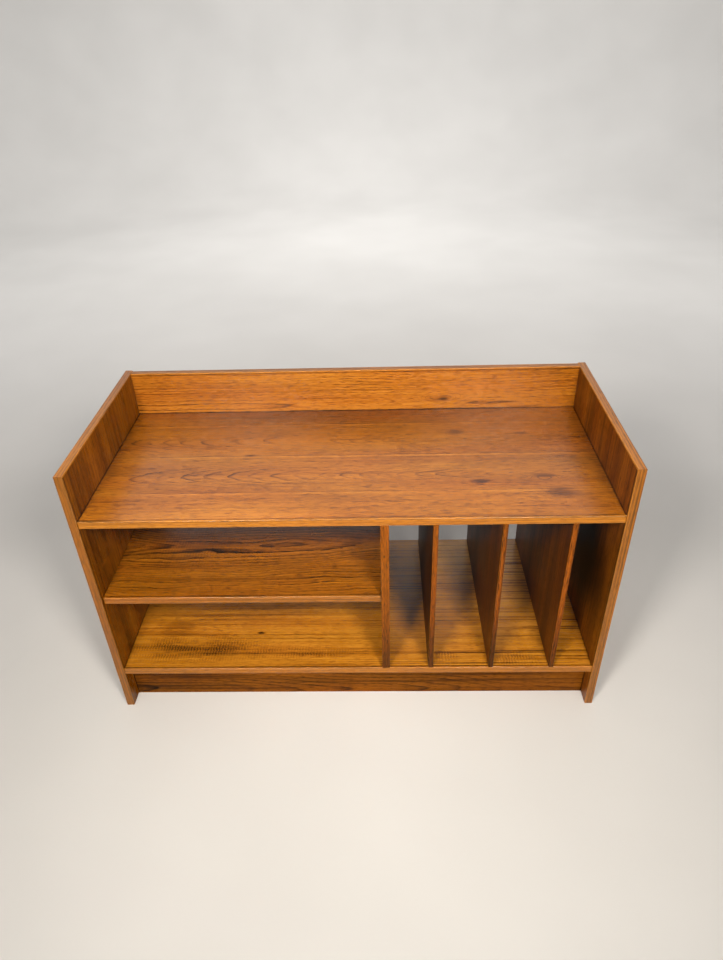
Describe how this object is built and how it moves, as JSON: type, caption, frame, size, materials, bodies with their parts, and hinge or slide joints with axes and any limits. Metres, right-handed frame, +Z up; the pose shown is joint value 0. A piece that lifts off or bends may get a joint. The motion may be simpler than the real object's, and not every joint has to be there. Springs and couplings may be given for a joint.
{
  "type": "open record cabinet",
  "caption": "Low open-backed teak cabinet: sides and a rear upstand make a tray round the top, over a bay with a loose shelf and a record bay with dividers.",
  "frame": {"origin": "on the floor, under the middle of the case", "axes": "+X to the right seen from the front, +Y to the back, +Z up"},
  "size_m": [1, 0.42, 0.595],
  "materials": {
    "teak_veneer": "satin lacquered teak veneer on chipboard",
    "teak_lipping": "satin lacquered solid teak",
    "beech_dowel": "unfinished beech",
    "nickel_pin": "nickel-plated steel"
  },
  "bodies": {
    "case": {"left_side": "teak_veneer", "left_side_front_lipping": "teak_lipping", "left_side_top_lipping": "teak_lipping", "right_side": "teak_veneer", "right_side_front_lipping": "teak_lipping", "right_side_top_lipping": "teak_lipping", "top_board": "teak_veneer", "top_lipping": "teak_lipping", "bottom_board": "teak_veneer", "bottom_lipping": "teak_lipping", "partition": "teak_veneer", "partition_lipping": "teak_lipping", "upstand": "teak_veneer", "upstand_lipping": "teak_lipping", "front_plinth": "teak_veneer", "rear_plinth": "teak_veneer", "shelf_pins": "nickel_pin", "top_dowels": "beech_dowel", "bottom_dowels": "beech_dowel", "partition_dowels": "beech_dowel", "upstand_dowels": "beech_dowel", "front_plinth_dowels": "beech_dowel", "rear_plinth_dowels": "beech_dowel"},
    "shelf": {"middle_shelf": "teak_veneer", "middle_shelf_lipping": "teak_lipping"},
    "divider_1": {"record_divider_1": "teak_veneer", "record_divider_1_lipping": "teak_lipping"},
    "divider_2": {"record_divider_2": "teak_veneer", "record_divider_2_lipping": "teak_lipping"},
    "divider_3": {"record_divider_3": "teak_veneer", "record_divider_3_lipping": "teak_lipping"}
  },
  "joints": [
    {"name": "shelf_slide", "type": "slide", "parent": "case", "child": "shelf", "axis": [0, -1, 0], "range_m": [0, 0.42]},
    {"name": "divider_1_slide", "type": "slide", "parent": "case", "child": "divider_1", "axis": [0, 1, 0], "range_m": [0, 0.42]},
    {"name": "divider_2_slide", "type": "slide", "parent": "case", "child": "divider_2", "axis": [0, 1, 0], "range_m": [0, 0.42]},
    {"name": "divider_3_slide", "type": "slide", "parent": "case", "child": "divider_3", "axis": [0, 1, 0], "range_m": [0, 0.42]}
  ]
}
